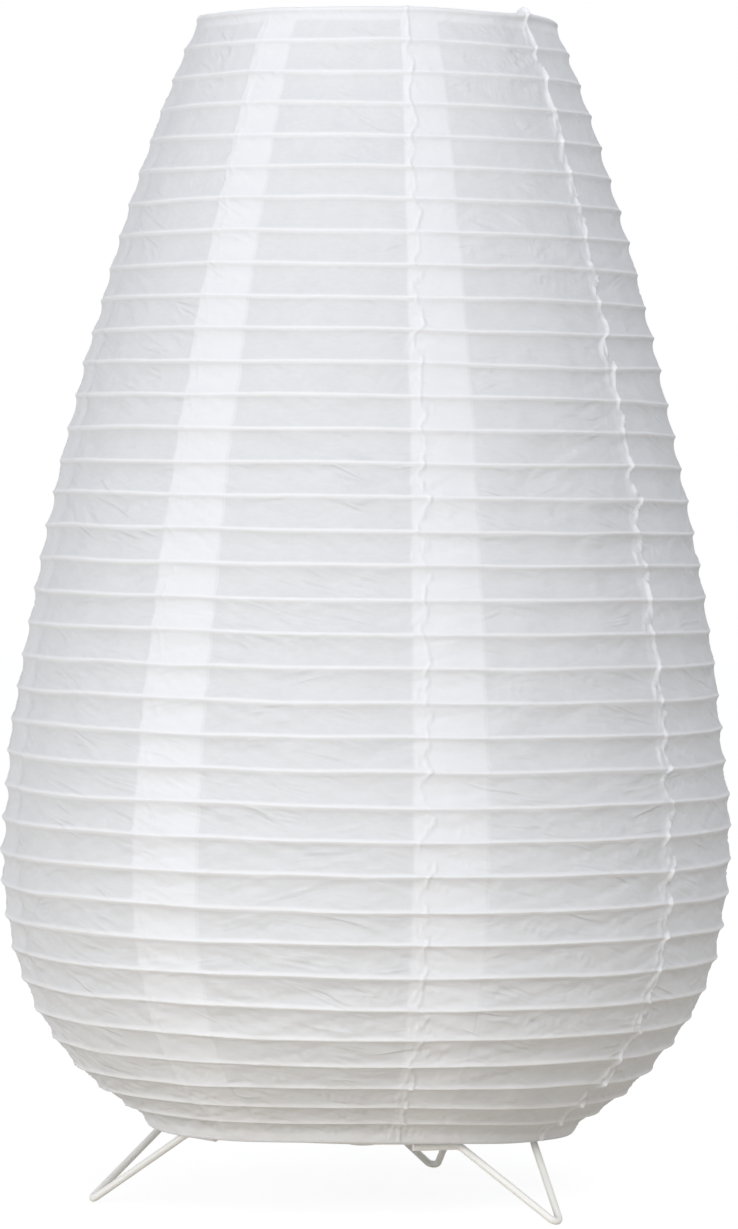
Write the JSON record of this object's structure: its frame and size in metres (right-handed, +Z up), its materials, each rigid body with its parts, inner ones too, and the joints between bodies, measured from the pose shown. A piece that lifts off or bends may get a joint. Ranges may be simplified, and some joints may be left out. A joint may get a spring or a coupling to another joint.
{
  "type": "paper lantern floor lamp",
  "caption": "Pear-shaped paper lantern floor lamp: lapped paper panels pleated over thin hoops, hung on a wire stand with hairpin feet, a screw lampholder and a lamp inside.",
  "frame": {"origin": "on the floor, on the lantern's vertical axis", "axes": "+Z up along the lantern's axis; one foot points to -X and the other two lie either side of +X"},
  "size_m": [0.3626, 0.3626, 0.582],
  "materials": {
    "coated_wire": "satin white powder coat",
    "hoop_wire": "thin white coated wire",
    "zinc_steel": "bright zinc plate",
    "white_plastic": "matt moulded",
    "porcelain": "unglazed",
    "contact_brass": "bright",
    "lamp_metal": "bright rolled",
    "black_glass": "black, glossy",
    "lamp_plastic": "matt moulded",
    "lamp_diffuser": "frosted",
    "board_white": "white solder mask",
    "board_green": "green solder mask",
    "chip_yellow": "phosphor",
    "rice_paper": "fibrous, translucent"
  },
  "bodies": {
    "stand": {"base_ring": "coated_wire", "foot_1": "coated_wire", "foot_2": "coated_wire", "foot_3": "coated_wire", "upright_1": "coated_wire", "upright_2": "coated_wire", "upright_3": "coated_wire", "spoke_1": "coated_wire", "spoke_2": "coated_wire", "spoke_3": "coated_wire", "holder_plate": "coated_wire", "threaded_tube": "zinc_steel", "lock_nut": "zinc_steel", "lock_washer": "zinc_steel", "cord_bush": "white_plastic", "holder_cap": "white_plastic", "grip_screw": "zinc_steel", "terminal_block": "porcelain", "terminal_screws": "zinc_steel", "screw_shell": "contact_brass", "centre_contact": "contact_brass", "contact_rivets": "zinc_steel", "holder_skirt": "white_plastic"},
    "lamp_foot": {"lamp_button": "lamp_metal", "lamp_insulator": "black_glass"},
    "lamp": {"lamp_cap": "lamp_metal", "lamp_housing": "lamp_plastic", "lamp_board": "board_white", "lamp_chips": "chip_yellow", "driver_board": "board_green", "lamp_globe": "lamp_diffuser"},
    "shade": {"rim_ring": "coated_wire", "hoops_lower": "hoop_wire", "hoops_middle": "hoop_wire", "hoops_upper": "hoop_wire", "paper_1": "rice_paper", "paper_2": "rice_paper", "paper_3": "rice_paper", "paper_4": "rice_paper", "paper_5": "rice_paper", "paper_6": "rice_paper", "paper_7": "rice_paper", "paper_8": "rice_paper"},
    "hem": {"hem_ring": "coated_wire"}
  },
  "joints": [
    {"name": "shade_lift", "type": "slide", "parent": "stand", "child": "shade", "axis": [0, 0, 1], "range_m": [0, 0.6]},
    {"name": "hem_gather", "type": "slide", "parent": "shade", "child": "hem", "axis": [0, 0, 1], "range_m": [0, 0.485], "deforming": ["hoops_lower", "hoops_middle", "hoops_upper", "paper_1", "paper_2", "paper_3", "paper_4", "paper_5", "paper_6", "paper_7", "paper_8"]},
    {"name": "lamp_rise", "type": "slide", "parent": "stand", "child": "lamp_foot", "axis": [0, 0, 1], "range_m": [0, 0.0182]},
    {"name": "lamp_turn", "type": "hinge", "parent": "lamp_foot", "child": "lamp", "pos_m": [0, 0, 0.08], "axis": [0, 0, 1], "range_deg": [0, 1800]}
  ],
  "couplings": [
    {"joint": "lamp_rise", "follows": "lamp_turn", "m_per_rad": 0.00057614}
  ]
}
